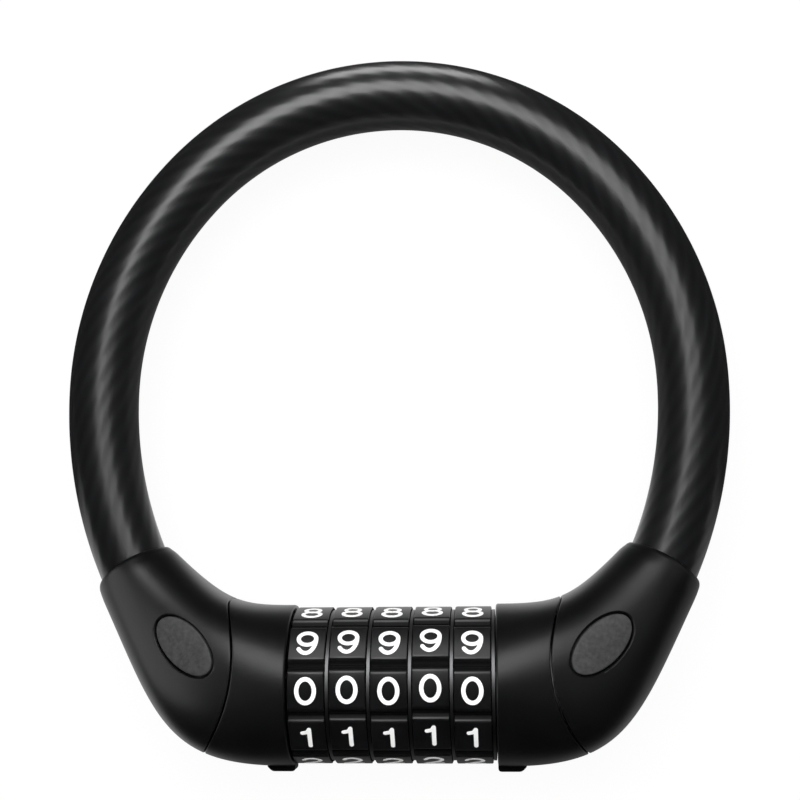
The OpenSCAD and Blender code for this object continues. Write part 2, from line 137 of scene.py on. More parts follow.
class HousingSizes(bpy.types.PropertyGroup):
    """Sizes of the elbows and collars of both housings"""

    radius: length("Radius", "Radius where the housing meets the dials", 13.6)
    mouth_reach: length("Mouth reach", "Distance from dial end to mouth, along the dial axis", 28.4)
    mouth_rise: length("Mouth rise", "Height of the mouth above the dial axis", 19.7)
    mouth_radius: length("Mouth radius", "Radius of the housing at its cable mouth", 7.3)
    mouth_lean: angle("Mouth lean", "Lean of the mouth's face from level", 31)
    rim: length("Rim", "Depth of the mouth's rounding", 1)
    rim_run: length("Rim run", "Length of that rounding along the housing", 2.2)
    rim_bow: length("Rim bow", "How much further the rim reaches along the cable at its front and back", 0.9)
    end_round: length("End rounding", "Rounding at the dial end", 0.4)
    fullness: amount("Fullness", "Exponent of the fullest section, where 2 is an oval", 2.8)
    outer_lead: length("Outer lead", "Pull of the outer outline at the dial end", 21)
    outer_tail: length("Outer tail", "Pull of the outer outline at the mouth", 25)
    outer_lean: angle("Outer lean", "Lean of the outer outline at the mouth", 27)
    inner_lead: length("Inner lead", "Pull of the inner outline at the dial end", 10.5)
    inner_tail: length("Inner tail", "Pull of the inner outline at the mouth", 13)
    inner_lean: angle("Inner lean", "Lean of the inner outline at the mouth", 45)
    seam_radius: length("Seam radius", "Radius of the curved seam", 23.5)
    seam_offset: length("Seam offset", "Distance from the dial end to the seam", 8.8)
    seam_rise: length("Seam rise", "Height of the seam's middle above the dial axis", 4.8)
    seam_gap: length("Seam gap", "Open line between elbow and collar", 0.26)
    seam_round: length("Seam rounding", "Rounding of the two lips of the seam", 0.2)
    end_wall: length("End wall", "Thickness of a collar's end wall", 2.2)
    bore: length("Bore", "Radius of the space for the anchor", 10.73)
    plastic: colour("Plastic", "Black plastic of the housings", (0.0016, 0.0016, 0.0018))


class BadgeSizes(bpy.types.PropertyGroup):
    """Sizes of the bare oval badges"""

    size: lengths("Size", "Length and width of the bare oval", (12.6, 6.6))
    thickness: length("Thickness", "Thickness of the badge", 0.9)
    gap: length("Groove", "Width of the groove round the badge", 0.24)
    lip: length("Lip", "Bevel round the groove", 0.28)
    station: amount("Station", "Share of the way from dial end to mouth", 0.58)
    shift: length("Shift", "Distance from the elbow's middle line", 2)
    turn: angle("Turn", "Angle of the long axis from the dial axis", 43)
    dome: length("Dome", "Rise of the badge's middle", 0.06)
    plastic: colour("Badge plastic", "Dark grey of the bare ovals", (0.04, 0.04, 0.041))


class DialSizes(bpy.types.PropertyGroup):
    """Sizes of the dials and their numbers"""

    face: length("Face", "Distance from the axis to the middle of a number face", 13.05)
    crown: length("Crown", "Radius of the crown of a number face", 22)
    groove_width: length("Groove width", "Width of the hollows between the faces", 2.4)
    groove_depth: length("Groove depth", "Depth of those hollows", 0.6)
    bore: length("Bore", "Radius of the hole for the code ring", 9.05)
    digit_height: length("Digit height", "Height of a number", 4.55)
    digit_width: length("Digit width", "Width of a number", 3.62)
    stroke: length("Stroke", "Width of a number's strokes", 0.71)
    paint: length("Paint", "Height of the numbers above the face", 0.03)
    turns: bpy.props.FloatVectorProperty(
        name="Turns", description="How far each dial sits from its click", size=5, subtype="NONE",
        default=(0.0, math.radians(-0.9), 0.0, math.radians(-2.0), 0.0),
    )
    gloss: colour("Dial", "Gloss black of the dials", (0.0025, 0.0025, 0.0028))
    white: colour("Numbers", "White of the numbers", (0.93, 0.93, 0.92))


# The soft lights: place from the middle of the dials, width and depth, radiance and use
LIGHTS = {
    "soft_box": ((-55, 180, 300), (118, 180), 6.4, "the soft box"),
    "second_box": ((82, 180, 300), (136, 180), 2.9, "the dimmer soft box beside it"),
    "left_panel": ((-160, 10, 80), (130, 150), 1.8, "the panel that lights the housings from the left"),
    "right_panel": ((150, 80, 80), (130, 150), 0.36, "the panel that lights the housings from the right"),
    "dial_band": ((0, 290, 190), (440, 130), 2.3, "the strip that only the dials show"),
    "fill_panel": ((0, 100, 420), (400, 300), 5, "the fill panel, which no gloss shows"),
    "rim_strip": ((0, 165, 12), (60, 26), 5.5, "the strip that lights the cable's outer edge"),
}


def with_lights(group):
    """Gives a group of sizes the place, the size and the radiance of each light."""
    for light, (place, size, level, words) in LIGHTS.items():
        label = light.replace("_", " ").capitalize()
        group.__annotations__.update({
            f"{light}_place": lengths(f"{label} place", f"Place of {words}", place),
            f"{light}_size": lengths(f"{label} size", f"Width and depth of {words}", size),
            f"{light}_level": amount(f"{label} level", f"Radiance of {words}", level),
        })
    return group


@with_lights
class StageSizes(bpy.types.PropertyGroup):
    """The camera, the lights, the floor and the dark card"""

    camera: lengths("Camera", "Place of the camera from the middle of the dials", (20.5, 20.5, 245.5))
    yaw: angle("Yaw", "Turn of the camera to its side", 4.53)
    pitch: angle("Pitch", "Turn of the camera upwards", 6.63)
    roll: angle("Roll", "Turn of the camera about its view", -0.51)
    lens: amount("Lens", "Focal length on a 36 mm sensor, in millimetres", 63.5)
    card_inside: amount("Card inside", "Brightness of the dark card inside the ring", 0.14)
    card_outside: amount("Card outside", "Brightness of the dark card round the lock", 0.03)
    card_left: amount("Card on the left", "Brightness added to the card beside the left housing", 0.85)
    card_right: amount("Card on the right", "Brightness added to the card beside the right housing", 0.33)
    card_below: amount("Card below", "Brightness added to the card in front of the dials", 0.13)
    floor_colour: colour("Floor", "Pale floor and walls", (0.92, 0.92, 0.92))


PROPERTY_GROUPS = {
    "lock_cable": CableSizes,
    "lock_housing": HousingSizes,
    "lock_badge": BadgeSizes,
    "lock_dial": DialSizes,
    "lock_stage": StageSizes,
}


# ---- Meshes ----


def row(points, side=1):
    """Points about the dial axis, moved to the model's frame; side -1 mirrors them to the left."""
    return np.asarray(points) * np.array([side, 1.0, 1.0]) + AXIS


def quads(rows, columns, close_rows=False):
    """Corner indices of the cells of a grid whose columns go round, and their unwrapped row and column numbers."""
    i, j = np.meshgrid(np.arange(rows if close_rows else rows - 1), np.arange(columns), indexing="ij")
    corner_rows = np.stack([i, i + 1, i + 1, i], -1).reshape(-1, 4)
    corner_columns = np.stack([j, j, j + 1, j + 1], -1).reshape(-1, 4)
    return (corner_rows % rows) * columns + corner_columns % columns, corner_rows, corner_columns


def tube_faces(rows, columns, closed=False, start=0):
    """Faces of such a grid, numbered from start. Its ends are capped, or joined where it is closed."""
    faces = (quads(rows, columns, closed)[0] + start).tolist()
    if not closed:
        last = start + rows * columns - 1
        faces += [list(range(start, start + columns)), list(range(last, last - columns, -1))]
    return faces


def volume(points, faces):
    """Signed volume inside the faces: a sixth of the sum of the corner products of a fan on each face."""
    total = 0.0
    for count in {len(face) for face in faces}:
        corners = points[np.array([face for face in faces if len(face) == count])]
        for k in range(1, count - 1):
            total += np.einsum("ij,ij->", corners[:, 0], np.cross(corners[:, k], corners[:, k + 1])) / 6
    return total


def piece(name, points, faces, finish=None, smooth=30.0, uv=None):
    """A mesh object at the origin with its place in its points, its faces turned outwards."""
    points = np.asarray(points, float).reshape(-1, 3)
    faces = [tuple(face) for face in faces]
    inside_out = volume(points, faces) < 0
    if inside_out:
        faces = [face[::-1] for face in faces]
    mesh = bpy.data.meshes.new(name)
    mesh.from_pydata(points.tolist(), [], faces)
    if uv is not None:
        layer = mesh.uv_layers.new(name="UVMap")
        corners = np.zeros((len(mesh.loops), 2))
        corners[: uv.size // 2] = (uv[:, ::-1] if inside_out else uv).reshape(-1, 2)
        layer.data.foreach_set("uv", corners.ravel())
    mesh.update()
    made = bpy.data.objects.new(name, mesh)
    bpy.context.collection.objects.link(made)
    shade_smooth(made, smooth)
    if finish:
        mesh.materials.append(finish)
    return made


def shade_smooth(made, degrees):
    """Smooth shading that stays sharp where faces meet at more than an angle."""
    made.data.polygons.foreach_set("use_smooth", np.ones(len(made.data.polygons), bool))
    made.data.set_sharp_from_angle(angle=math.radians(degrees))


def grid_piece(name, grid, finish, side=1, closed=False, smooth=30.0, uv_size=None):
    """A piece from a grid of points whose columns go round. Its ends are capped, or joined where it is closed."""
    rows, columns = grid.shape[:2]
    uv = None
    if uv_size:
        _, corner_rows, corner_columns = quads(rows, columns, close_rows=closed)
        uv = np.stack([corner_rows * uv_size[0] / (rows - 1), corner_columns * uv_size[1] / columns], -1)
    return piece(name, row(grid.reshape(-1, 3), side), tube_faces(rows, columns, closed), finish, smooth, uv)


def arc_steps(count):
    """Sine and cosine of angles from nothing to a quarter turn."""
    a = np.linspace(0, math.pi / 2, count)
    return np.sin(a), np.cos(a)


def circle_steps(count):
    """Angles spaced evenly round a full turn."""
    return np.linspace(0, 2 * math.pi, count, endpoint=False)


def rim_steps(start, end, edge, count):
    """Places from start to end where a bar's outline draws in by a quarter circle at each end, and by how much."""
    up, out = arc_steps(count)
    places = np.concatenate([start + edge * (1 - out), end - edge * (1 - out[::-1])])
    return places, np.concatenate([edge * (1 - up), edge * (1 - up[::-1])])


def unit(vectors):
    """Vectors scaled to a length of one."""
    return vectors / np.linalg.norm(vectors, axis=-1, keepdims=True)


def corner_curve(first, corner, last, u):
    """A quadratic curve: (1 - u)^2, 2u(1 - u) and u^2 times its first point, its corner and its last point."""
    return (1 - u) ** 2 * first + 2 * u * (1 - u) * corner + u**2 * last


def raised(flat, height):
    """Points in a plane, given a height as their third coordinate."""
    return np.concatenate([flat, np.broadcast_to(height, flat.shape[:-1])[..., None]], -1)


# ---- Finishes ----


class Value:
    """An output socket whose arithmetic adds Math nodes to its shader."""

    def __init__(self, shade, socket):
        self.shade, self.socket = shade, socket

    def math(self, operation, *values):
        return self.shade.add("ShaderNodeMath", {"operation": operation}, dict(enumerate(values)))

    def __add__(self, other):
        return self.math("ADD", self, other)

    def __sub__(self, other):
        return self.math("SUBTRACT", self, other)

    def __rsub__(self, other):
        return self.math("SUBTRACT", other, self)

    def __mul__(self, other):
        return self.math("MULTIPLY", self, other)

    def __truediv__(self, other):
        return self.math("DIVIDE", self, other)

    def __pow__(self, other):
        return self.math("POWER", self, other)

    __radd__ = __add__
    __rmul__ = __mul__

    def sine(self):
        return self.math("SINE", self)

    def greater(self, other):
        return self.math("MAXIMUM", self, other)

    def smooth(self, low, high):
        """Nothing below low, one above high and a smooth step between."""
        return self.shade.add(
            "ShaderNodeMapRange", {"interpolation_type": "SMOOTHSTEP"},
            {"Value": self, "From Min": low, "From Max": high},
        )


class Shade:
    """A material or world under construction."""

    def __init__(self, owner):
        self.owner = owner
        owner.use_nodes = True
        self.tree = owner.node_tree
        self.tree.nodes.clear()

    def add(self, kind, settings=None, sockets=None, out=0):
        """Adds a node: its settings first, then the values or links of its sockets."""
        node = self.tree.nodes.new(kind)
        for key, value in (settings or {}).items():
            if key == "stops":
                stops = node.color_ramp.elements
                while len(stops) < len(value):
                    stops.new(0.5)
                for stop, (place, tint) in zip(stops, value):
                    stop.position, stop.color = place, (*tint, 1)
            else:
                setattr(node, key, value)
        for key, value in (sockets or {}).items():
            if isinstance(value, Value):
                self.tree.links.new(value.socket, node.inputs[key])
            elif value is not None:
                node.inputs[key].default_value = value
        return Value(self, node.outputs[out]) if node.outputs else None

    def place(self):
        return self.add("ShaderNodeTexCoord", out="Object")

    def uv(self):
        """The two coordinates of the piece's own map."""
        return self.axes(self.add("ShaderNodeTexCoord", out="UV"))[:2]

    def axes(self, vector=None):
        """The three parts of a vector, or of the place on the piece."""
        parts = self.add("ShaderNodeSeparateXYZ", sockets={0: vector or self.place()}).socket.node
        return [Value(self, parts.outputs[k]) for k in range(3)]

    def from_axis(self):
        """Distance from the dial axis."""
        _, y, z = self.axes()
        return ((y - AXIS[1]) ** 2 + (z - AXIS[2]) ** 2) ** 0.5

    def noise(self, scale, detail=2.0, rough=0.55, vector=None, stretch=None):
        """Noise with scale cells to the metre, drawn out by stretch along each axis."""
        vector = vector or self.place()
        if stretch:
            vector = self.add("ShaderNodeMapping", sockets={"Vector": vector, "Scale": stretch})
        return self.add(
            "ShaderNodeTexNoise", sockets={"Vector": vector, "Scale": scale, "Detail": detail, "Roughness": rough}
        )

    def ramp(self, value, *stops):
        """A colour from a value, with its place and tint at each stop."""
        return self.add("ShaderNodeValToRGB", {"stops": stops}, {0: value})

    def shades(self, value, tint, *stops):
        """A tint from a value, with its place and the tint's factor at each stop."""
        return self.ramp(value, *((place, [min(1.0, c * factor) for c in tint]) for place, factor in stops))

    def bump(self, height, depth, strength=1.0, normal=None):
        """A normal from a height of nothing to one, depth metres tall."""
        return self.add(
            "ShaderNodeBump", sockets={"Height": height, "Distance": depth, "Strength": strength, "Normal": normal}
        )

    def principled(self, base, roughness, normal=None, soot=None, **sockets):
        """The finish of a piece, with a share of black matt mixed over it as painted shade, which shows no gloss."""
        named = {key.replace("_", " ").title().replace("Ior", "IOR"): value for key, value in sockets.items()}
        if isinstance(base, (tuple, list)):
            base = (*base, 1)
        shader = self.add(
            "ShaderNodeBsdfPrincipled",
            sockets={"Base Color": base, "Roughness": roughness, "Normal": normal, **named},
        )
        # Painted shade: black matt mixed over the finish by the given share
        if soot:
            shader = self.mixed(soot, shader, self.matt(SHADE_BLACK))
        return self.surface(shader)

    def matt(self, tint):
        return self.add("ShaderNodeBsdfDiffuse", sockets={"Color": tint})

    def glow(self):
        return self.add("ShaderNodeEmission", sockets={"Color": WHITE, "Strength": 1.0})

    def mixed(self, share, first, second):
        """The first shader, with a share of the second."""
        return self.add("ShaderNodeMixShader", sockets={0: share, 1: first, 2: second})

    def surface(self, shader):
        self.add("ShaderNodeOutputMaterial", sockets={"Surface": shader})
        return self.owner


def shade(name):
    return Shade(bpy.data.materials.new(name))


def housing_plastic(tint):
    """Satin moulded plastic: fine spark-eroded grain, faint flow mottling and rub marks."""
    s = shade("housing_plastic")
    mottle = s.noise(90, 3)
    grain = s.noise(5200, 2, 0.6)
    rubs = s.noise(420, 4, 0.7, stretch=(1.0, 3.2, 1.0))
    base = s.shades(mottle + rubs * 0.35, tint, (0.4, 0.82), (0.8, 1.22))
    rough = 0.28 + 0.09 * mottle + 0.05 * rubs
    peel = s.noise(1100, 3, 0.6)
    relief = s.bump(grain, 0.016 * MM, 0.4, s.bump(peel, 0.012 * MM, 0.5, s.bump(mottle, 0.05 * MM, 0.25)))
    return s.principled(base, rough, relief, specular_ior_level=0.36)


def badge_plastic(tint):
    """The bare ovals: a dull dark grey with a fine spark-eroded grain and faint blotches."""
    s = shade("badge_plastic")
    mottle = s.noise(140, 3)
    blotch = s.noise(1300, 3, 0.6)
    grain = s.noise(6800, 2, 0.6)
    base = s.shades(mottle * 0.3 + blotch * 0.7, tint, (0.35, 0.72), (0.65, 1.28))
    relief = s.bump(grain, 0.014 * MM, 0.4, s.bump(blotch, 0.012 * MM, 0.4))
    return s.principled(base, 0.46 + 0.1 * mottle, relief, specular_ior_level=0.3)


def sheath_plastic(sizes):
    """Smoky clear plastic over dark wires: the rope's lay shows as faint slanted bands under a smooth skin."""
    s = shade("sheath_pvc")
    lengthwise, around = s.uv()
    lay = (around * sizes.lay_waves - lengthwise * (sizes.lay_waves / sizes.lay_pitch)) * (2 * math.pi)
    wires = lay.sine() * 0.5 + 0.5
    wander = s.noise(60, 3)
    depth = wires * 0.3 + wander * 0.7
    base = s.shades(depth, sizes.sheath_colour, (0.25, 0.7), (0.65, 1), (0.95, 1.9))
    skin = s.noise(900, 3, 0.5)
    relief = s.bump(wires, 0.16 * MM, 0.15, s.bump(wander, 0.2 * MM, 0.3))
    rough = 0.29 + 0.08 * skin
    return s.principled(base, rough, relief, specular_ior_level=0.5, coat_weight=0.4, coat_roughness=0.24)


def rope_steel():
    """Greased galvanised wire."""
    s = shade("rope_steel")
    lengthwise, around = s.uv()
    waves_round, waves_along = 60, 900
    wires = ((around * waves_round + lengthwise * waves_along) * (2 * math.pi)).sine() * 0.5 + 0.5
    grime = s.noise(300, 4)
    base = s.ramp(grime, (0.3, (0.16, 0.155, 0.15)), (0.7, (0.42, 0.42, 0.43)))
    return s.principled(base, 0.32 + 0.25 * grime, s.bump(wires, 0.12 * MM, 0.7), metallic=1.0)


def dial_gloss(tint, face):
    """Gloss black plastic with a trace of polishing haze and fine hairlines; the hollows are rougher and mixed with
    black matt, painted shade in the grooves.
    """
    s = shade("dial_gloss")
    hollow = 1 - s.from_axis().smooth(face - 0.25 * MM, face)
    haze = s.noise(160, 3)
    hairs = s.noise(1500, 3, 0.7, stretch=(0.15, 1.0, 1.0))
    base = s.shades(haze, tint, (0.3, 0.8), (0.7, 1.4))
    rough = 0.25 + 0.06 * haze + 0.04 * hairs + 0.2 * hollow
    relief = s.bump(hairs, 0.004 * MM, 0.35)
    # Painted shade: the hollows between the number faces are mixed with black matt
    return s.principled(base, rough, relief, soot=0.8 * hollow, specular_ior_level=0.42)


def number_paint(tint):
    """White pad-printed ink, slightly uneven."""
    s = shade("number_paint")
    blotch = s.noise(900, 3)
    base = s.shades(blotch, tint, (0.3, 0.95), (0.7, 1))
    return s.principled(base, 0.4 + 0.15 * blotch, s.bump(blotch, 0.01 * MM, 0.4), specular_ior_level=0.4)


def worked_metal(name, tint, roughness, along_x=True, depth=0.006, grime=0.25):
    """Metal with tool marks along or round the dial axis and a faint uneven film."""
    s = shade(name)
    film = s.noise(220, 4)
    if along_x:
        marks = s.noise(2600, 3, 0.7, stretch=(0.04, 1.0, 1.0))
    else:
        rings = s.add("ShaderNodeCombineXYZ", sockets={0: s.axes()[0], 1: s.from_axis(), 2: 0.0})
        marks = s.noise(5200, 3, 0.7, vector=rings)
    base = s.shades(film, tint, (0.3, 1 - grime), (0.7, 1))
    rough = roughness + 0.12 * film + 0.08 * marks
    return s.principled(base, rough, s.bump(marks, depth * MM, 0.5), metallic=1.0)


def cast_zinc():
    """Die-cast zinc: dull, with the fine orange peel of the die."""
    s = shade("anchor_zinc")
    peel = s.noise(1400, 3, 0.6)
    film = s.noise(130, 3)
    base = s.ramp(film, (0.3, (0.36, 0.365, 0.375)), (0.7, (0.5, 0.505, 0.51)))
    return s.principled(base, 0.38 + 0.2 * film, s.bump(peel, 0.03 * MM, 0.5), metallic=1.0)


# ---- Cable ----


def along(heading):
    """Direction of travel at a heading, the clockwise angle from +X."""
    return np.stack([np.cos(heading), -np.sin(heading)], -1)


def outward(heading):
    """Direction away from the middle of a bend at a heading."""
    return np.stack([np.sin(heading), np.cos(heading)], -1)


def bend(radius, start, end):
    """The way along an arc between two headings: its radius times the change of the outward direction."""
    return radius * (outward(end) - outward(start))


class Ring:
    """The middle line of the cable from the top of the ring to the socket in the right anchor: four arcs, each
    going on where the one before it ends."""

    def __init__(self, cable, housing):
        self.mouth_heading = cable.mouth_heading
        self.hole = cable.diameter / 2 + 0.1 * MM
        self.socket_heading = cable.mouth_heading + cable.inside_turn
        self.mouth = np.array([FACE_X + housing.mouth_reach, housing.mouth_rise])
        shoulder_end = cable.top_turn + cable.shoulder_turn
        heads = [0.0, cable.top_turn, shoulder_end, cable.mouth_heading, self.socket_heading]
        lower = bend(cable.shoulder_radius, heads[1], heads[2]) + bend(cable.side_radius, heads[2], heads[3])
        top_radius = (self.mouth[0] - lower[0]) / math.sin(cable.top_turn)
        self.top = self.mouth[1] - lower[1] + top_radius * (1 - math.cos(cable.top_turn))
        self.heads = heads
        self.radii = [top_radius, cable.shoulder_radius, cable.side_radius, cable.inside_radius]
        self.starts = [np.array([0.0, self.top])]
        for k, radius in enumerate(self.radii):
            self.starts.append(self.starts[k] + bend(radius, heads[k], heads[k + 1]))
        self.bend_lengths = [r * (b - a) for r, a, b in zip(self.radii, heads, heads[1:])]
        self.half_length = sum(self.bend_lengths)

    def heading(self, distance):
        """Heading at a distance along the cable from the top."""
        knots = np.concatenate([[0.0], np.cumsum(self.bend_lengths)])
        return np.interp(distance, knots, self.heads)

    def point(self, heading):
        heading = np.asarray(heading, float)
        place = np.zeros(heading.shape + (2,))
        for k, radius in enumerate(self.radii):
            here = (heading >= self.heads[k]) if k else np.ones(heading.shape, bool)
            arc = self.starts[k] + bend(radius, self.heads[k], heading)
            place = np.where(here[..., None], arc, place)
        return place

    def line(self, distances):
        """Points and outward directions at signed distances from the top, negative to the left."""
        heading = self.heading(np.abs(distances))
        sign = np.where(distances < 0, -1.0, 1.0)[:, None] * [1.0, 0.0] + [0.0, 1.0]
        return self.point(heading) * sign, outward(heading) * sign


def swept(ring, distances, radius):
    """A tube grid: at each distance the middle line, plus the radius times the cosine of the angle round
    outwards and its sine upwards. The radius is an array over distances and angles."""
    a = circle_steps(radius.shape[1])
    middle, out = ring.line(distances)
    return raised(middle[:, None] + (radius * np.cos(a))[..., None] * out[:, None], radius * np.sin(a))


class LockOperator:
    bl_options = {"REGISTER", "UNDO"}


class LOCK_OT_cable(LockOperator, bpy.types.Operator):
    """Makes the plastic sheath, rippled by sine waves along the lay, and the six-stranded rope inside it"""

    bl_idname = "lock.cable"
    bl_label = "Cable"

    def execute(self, context):
        sizes, housing = context.scene.lock_cable, context.scene.lock_housing
        ring = Ring(sizes, housing)
        half = ring.half_length
        skin_rows, bore_rows, rope_rows, columns, cord_points = 440, 220, 300, 144, 61
        slow_pitch, strand_pitch = 23 * MM, 55 * MM
        distances = np.linspace(-half, half, skin_rows)
        turns = circle_steps(columns)[None, :] / (2 * math.pi)
        lay = sizes.lay_waves * (turns - distances[:, None] / sizes.lay_pitch)
        slow = 0.6 + 0.4 * np.sin(2 * math.pi * (3 * turns + distances[:, None] / slow_pitch))
        radius = sizes.diameter / 2 - sizes.lay_height * (1 - np.cos(2 * math.pi * lay)) / 2 * slow
        outside = swept(ring, distances, radius)
        back = np.linspace(half, -half, bore_rows)
        inside = swept(ring, back, np.full((bore_rows, columns), sizes.bore / 2))
        sheath = grid_piece(
            "cable_sheath_skin", np.concatenate([outside, inside]), sheath_plastic(sizes), closed=True,
            uv_size=(3 * half, 1.0),
        )
        rope_distances = np.linspace(-half, half, rope_rows)
        strands = 6 * (turns[:, ::2] + rope_distances[:, None] / strand_pitch)
        rope_radius = sizes.rope_diameter / 2 * (0.93 + 0.07 * np.abs(np.cos(math.pi * strands)))
        rope = grid_piece(
            "cable_rope_skin", swept(ring, rope_distances, rope_radius), rope_steel(), uv_size=(2 * half, 1.0)
        )
        for made, node, slot in ((sheath, "cable_sheath", "sheath_pvc"), (rope, "cable_rope", "rope_steel")):
            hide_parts(node)
            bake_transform(made)
        middle = ring.line(np.linspace(-half, half, cord_points))[0]
        2 * half
        return {"FINISHED"}


# ---- Housings ----


class HousingForm:
    """The outside of a right housing. At a station t from dial end to mouth, the section lies between the
    outer and inner outline, two cubic curves in the plane of the ring. It is a superellipse: at an angle its
    reach is (|cos|^n + |sin|^n)^(-1/n), times half the width across and half_depth upwards."""

    def __init__(self, sizes, ring):
        self.sizes, self.ring = sizes, ring
        s = sizes
        self.across, self.push = along(s.mouth_lean), outward(s.mouth_lean)
        self.outer = self.outline(-s.radius, s.outer_lead, s.outer_tail, s.outer_lean, s.mouth_radius)
        self.inner = self.outline(s.radius, s.inner_lead, s.inner_tail, s.inner_lean, -s.mouth_radius)
        self.seam_middle = np.array([FACE_X + s.seam_offset + s.seam_radius, s.seam_rise])
        self.rim_share = 1 - s.rim / s.rim_run

    def outline(self, rise, lead, tail, lean, reach):
        """The four points of a cubic curve from the dial end, at a height, to the mouth's edge."""
        start, end = FACE_X + self.sizes.end_round, self.ring.mouth + reach * self.across
        return np.array([[start, rise], [start + lead, rise], end - tail * outward(lean), end])

    def outlines(self, t):
        """The outer and the inner outline: each curve's four points with the cubic weights of the station."""
        u = 1 - t
        weights = np.stack([u**3, 3 * u * u * t, 3 * u * t * t, t**3], -1)
        return weights @ self.outer, weights @ self.inner

    def half_depth(self, t):
        """From the radius at the dial end to the one at the mouth, with the square of the station."""
        return self.sizes.radius - (self.sizes.radius - self.sizes.mouth_radius) * t * t

    def power(self, t):
        """Two at both ends and the fullness half way, along a half wave of the sine."""
        return 2 + (self.sizes.fullness - 2) * np.sin(math.pi * t)

    def surface(self, t, a):
        t, a = np.broadcast_arrays(np.asarray(t, float), np.asarray(a, float))
        outer, inner = self.outlines(t)
        n = self.power(t)
        reach = (np.abs(np.cos(a)) ** n + np.abs(np.sin(a)) ** n) ** (-1 / n)
        flat = (outer + inner) / 2 + (reach * np.cos(a))[..., None] * (outer - inner) / 2
        return raised(flat, self.half_depth(t) * reach * np.sin(a))

    def front(self, t, shift):
        """Point on the top side at a distance from the middle line towards the inner outline."""
        t, shift = np.broadcast_arrays(np.asarray(t, float), np.asarray(shift, float))
        outer, inner = self.outlines(t)
        half = np.linalg.norm(outer - inner, axis=-1) / 2
        n = self.power(t)
        flat = (outer + inner) / 2 + (shift / (2 * half))[..., None] * (inner - outer)
        return raised(flat, self.half_depth(t) * (1 - np.abs(shift / half) ** n) ** (1 / n))

    def seam_station(self, a, radius):
        """Station at which the surface crosses the upright seam cylinder, by halving the span 40 times."""
        low, high = np.zeros_like(a), np.full_like(a, 0.9)
        for _ in range(40):
            middle = (low + high) / 2
            reach = np.linalg.norm(self.surface(middle, a)[..., :2] - self.seam_middle, axis=-1)
            beyond = reach > radius
            low, high = np.where(beyond, middle, low), np.where(beyond, high, middle)
        return (low + high) / 2

    def bore_on_seam(self, a, radius):
        """Where the round bore meets the seam cylinder."""
        y, z = -self.sizes.bore * np.cos(a), self.sizes.bore * np.sin(a)
        x = self.seam_middle[0] - np.sqrt(radius**2 - (y - self.seam_middle[1]) ** 2)
        return np.stack([x, y, z], -1)

    def lip(self, a, radius, way):
        """Rounded lip at the seam: a quadratic curve from the surface, through the corner, down the cut.
        way is -1 on the collar's side and 1 on the elbow's."""
        station, step = self.seam_station(a, radius), way * 0.02
        corner = self.surface(station, a)
        nearby = self.surface(station + step, a)
        start_station = station + step * self.sizes.seam_round / np.linalg.norm(nearby - corner, axis=-1)
        start = self.surface(start_station, a)
        foot = self.bore_on_seam(a, radius)
        down = foot - corner
        finish = corner + unit(down) * self.sizes.seam_round
        curve = corner_curve(start, corner, finish, np.linspace(0, 1, 6)[1:, None, None])
        return start_station, np.concatenate([curve, (finish + down * 0.5)[None], foot[None]])

    def circle(self, x, radius, a):
        """A circle about the dial axis, from the outer side round over the top."""
        return np.stack([np.full_like(a, x), -radius * np.cos(a), radius * np.sin(a)], -1)

    def collar(self, a, hole):
        """Rows of a collar, from its hole over its end face and outside to the seam and back through its bore."""
        s = self.sizes
        up, out = arc_steps(6)
        station, lip = self.lip(a, s.seam_radius, -1)
        bevel = 0.3 * MM
        corner = [(bevel, hole), (0.3 * bevel, hole + 0.3 * bevel), (0, hole + bevel), (0, s.radius - 2 * s.end_round)]
        corner += [(s.end_round * (1 - c), s.radius - s.end_round * (1 - b)) for b, c in zip(up[:-1], out[:-1])]
        rows = [self.circle(FACE_X + x, radius, a) for x, radius in corner]
        rows += [self.surface(station * k, a) for k in np.linspace(0, 1, 26)]
        rows += list(lip)
        rows += [self.circle(FACE_X + s.end_wall, radius, a) for radius in (s.bore, hole)]
        return np.stack(rows)

    def elbow(self, a):
        """Rows of an elbow, from the seam over its outside to the mouth's rim, into the cable hole and back."""
        s, ring = self.sizes, self.ring
        station, lip = self.lip(a, s.seam_radius - s.seam_gap, 1)
        rows = list(lip[::-1])
        for k in 1 - (1 - np.linspace(0, 1, 100)) ** 1.6:
            rows.append(self.drawn_in(station + (1 - station) * k, a))
        for share in np.sin(np.linspace(math.asin(self.rim_share), math.pi / 2, 9))[1:]:
            rows.append(self.mouth_ring(s.mouth_radius - self.rim_inset(share), s.rim + (share - 1) * s.rim_run, a))
        hole, bevel = ring.hole, 0.1 * MM
        rows.append(self.mouth_ring(hole + bevel, s.rim * 0.97, a))
        rows.append(self.mouth_ring(hole, s.rim * 0.8, a))
        for heading in np.linspace(ring.mouth_heading, ring.socket_heading, 6):
            flat = ring.point(heading) + hole * np.cos(a)[:, None] * outward(heading)
            rows.append(raised(flat, hole * np.sin(a)))
        rows.append(rows[-1] * 0.5 + rows[0] * 0.5)
        return np.stack(rows)

    def rim_inset(self, share):
        """Depth of the mouth's rounding at a share of its length: the depth less a quarter oval's height."""
        return self.sizes.rim * (1 - np.sqrt(1 - share**2))

    def drawn_in(self, t, a):
        """The outside, with the rim's bow carried on along the cable over the last stations, and drawn towards
        its middle by the first part of the rounding."""
        bow_from, round_from = 0.8, 0.965
        bow = self.sizes.rim_bow * np.sin(a) ** 2 * np.clip((t - bow_from) / (1 - bow_from), 0, 1) ** 2
        points = self.surface(t, a) + bow[..., None] * np.array([*self.push, 0.0])
        share = self.rim_share * np.clip((t - round_from) / (1 - round_from), 0, 1)
        middle = raised(sum(self.outlines(t)) / 2, 0.0)
        return points + (middle - points) * (self.rim_inset(share) / self.sizes.mouth_radius)[..., None]

